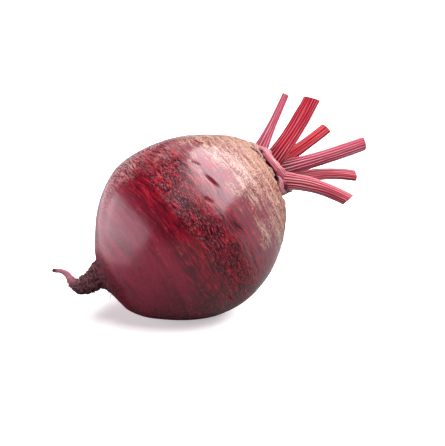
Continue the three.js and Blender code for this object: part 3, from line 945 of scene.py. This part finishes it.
# The table under the root: a plain white sheet, wide enough to fill the view. The light that it throws back
# at the root is held down, so that the underside keeps its depth, but for a bright part at the left, which
# glows for the root alone and is mirrored in its glossy skin. To the camera the sheet glows evenly and
# faintly pink, which lifts its shadow and paints it pink, as light thrown from the root would.
FLOOR_HALF = 7.0
FLOOR_WHITE = (0.92, 0.92, 0.92)
FLOOR_BOUNCE = (0.22, 0.22, 0.22)
FLOOR_GLOW = (0.475, 0.445, 0.46)
NO_GLOW = (0, 0, 0)

# The bright part and its soft edges, in metres towards the left and towards the back.
LEFT_GLOW = (1.7, 1.47, 1.6)
LEFT_EDGE = (-0.09, -0.125)
BACK_EDGE = (-0.03, 0.04)
floor_mesh = bpy.data.meshes.new("floor")
corners = [(-1, -1), (1, -1), (1, 1), (-1, 1)]
floor_mesh.from_pydata([(x * FLOOR_HALF, y * FLOOR_HALF, 0) for x, y in corners], [], [(0, 1, 2, 3)])
floor = bpy.data.objects.new("floor", floor_mesh)
bpy.context.scene.collection.objects.link(floor)
floor_material, tree, surface = new_material("white_sheet")
seen = add(tree, "LightPath", {}, {}).outputs["Is Camera Ray"]
tree.links.new(mix(tree, seen, FLOOR_BOUNCE, FLOOR_WHITE), surface.inputs["Base Color"])
surface.inputs["Roughness"].default_value = 0.9
surface.inputs["Specular IOR Level"].default_value = 0.1
place = add(tree, "TexCoord", {}, {}).outputs["Object"]
across_floor = add(tree, "SeparateXYZ", {}, {0: place}).outputs
behind = between(tree, sum_of(tree, across_floor[1], across_floor[0], -0.3), *BACK_EDGE)
lit_share = product(tree, between(tree, across_floor[0], *LEFT_EDGE), behind)
glow = mix(tree, lit_share, NO_GLOW, LEFT_GLOW)
tree.links.new(mix(tree, seen, glow, FLOOR_GLOW), surface.inputs["Emission Color"])
surface.inputs["Emission Strength"].default_value = 1.0
floor.data.materials.append(floor_material)


def soft_light(name, shape, towards, distance, wide, high, spin, brightness, tint=(1, 1, 1)):
    """A sheet of even light that faces the root from a direction, with its own spin about that direction.
    Its energy is its brightness times pi times wide times high."""
    light = bpy.data.lights.new(name, "AREA")
    light.shape = shape
    light.size, light.size_y = wide, high
    light.energy = brightness * np.pi * wide * high
    light.color = tint
    lamp = bpy.data.objects.new(name, light)
    bpy.context.scene.collection.objects.link(lamp)
    lamp.location = Vector(towards) * distance
    facing = Vector(towards).to_track_quat("Z", "Y").to_matrix()
    lamp.rotation_euler = (facing @ Matrix.Rotation(np.radians(spin), 3, "Z")).to_euler()
    lamp.visible_camera = False


# Soft studio light: a large white cloth overhead to the right, a low one to the left, and a dim room that
# is bright only near the horizon behind the root. Distances and sizes are in metres.
OVERHEAD_CLOTH = {
    "shape": "RECTANGLE",
    "towards": (0.40, -0.19, 0.92),
    "distance": 4.0,
    "wide": 7.4,
    "high": 4.9,
    "spin": -4,
    "brightness": 6.2,
}
LEFT_CLOTH = {
    "shape": "ELLIPSE",
    "towards": (-0.947, 0.272, 0.195),
    "distance": 0.6,
    "wide": 1.04,
    "high": 0.31,
    "spin": -3,
    "brightness": 2.4,
    "tint": (1, 0.87, 0.95),
}
ROOM_DIM = (0.06, 0.06, 0.065)
WALL_DIM = (0.06, 0.06, 0.06)
WALL_BRIGHT = (0.62, 0.62, 0.62)
BACKDROP = (1.0, 1.0, 1.0)
soft_light("overhead_cloth", **OVERHEAD_CLOTH)
soft_light("left_cloth", **LEFT_CLOTH)
world = bpy.data.worlds.new("room")
bpy.context.scene.world = world
world.use_nodes = True
tree = world.node_tree
direction = add(tree, "TexCoord", {}, {}).outputs["Generated"]
_, backward, upward = add(tree, "SeparateXYZ", {}, {0: direction}).outputs
low_wall = mix(tree, between(tree, backward, -0.4, 0.3), WALL_DIM, WALL_BRIGHT)
room = mix(tree, between(tree, upward, 0.05, 0.35), low_wall, ROOM_DIM)
seen = add(tree, "LightPath", {}, {}).outputs["Is Camera Ray"]
room = mix(tree, seen, room, BACKDROP)
tree.links.new(room, tree.nodes["Background"].inputs["Color"])
bpy.context.scene.view_settings.view_transform = "Standard"

# The camera looks down a little at the root, from its left. It is placed from the middle of the globe.
CAMERA_AZIMUTH = -22.3
CAMERA_ELEVATION = 17.0
CAMERA_DISTANCE = 474.43
CAMERA_LENS = 90
CAMERA_RIGHT = 13.83
CAMERA_UP = 1.70
azimuth, elevation = np.radians([CAMERA_AZIMUTH, CAMERA_ELEVATION])
back = np.array(
    [np.sin(azimuth) * np.cos(elevation), -np.cos(azimuth) * np.cos(elevation), np.sin(elevation)]
)
to_right = np.array([np.cos(azimuth), np.sin(azimuth), 0])
to_top = np.cross(back, to_right)
camera = bpy.data.objects.new("camera", bpy.data.cameras.new("camera"))
bpy.context.scene.collection.objects.link(camera)
camera.data.lens = CAMERA_LENS
camera.data.clip_end = 50
seen_from = GLOBE_MIDDLE + back * CAMERA_DISTANCE + to_right * CAMERA_RIGHT + to_top * CAMERA_UP
camera.location = (seen_from * MM).tolist()
camera.rotation_euler = Vector(back).to_track_quat("Z", "Y").to_euler()
bpy.context.scene.camera = camera
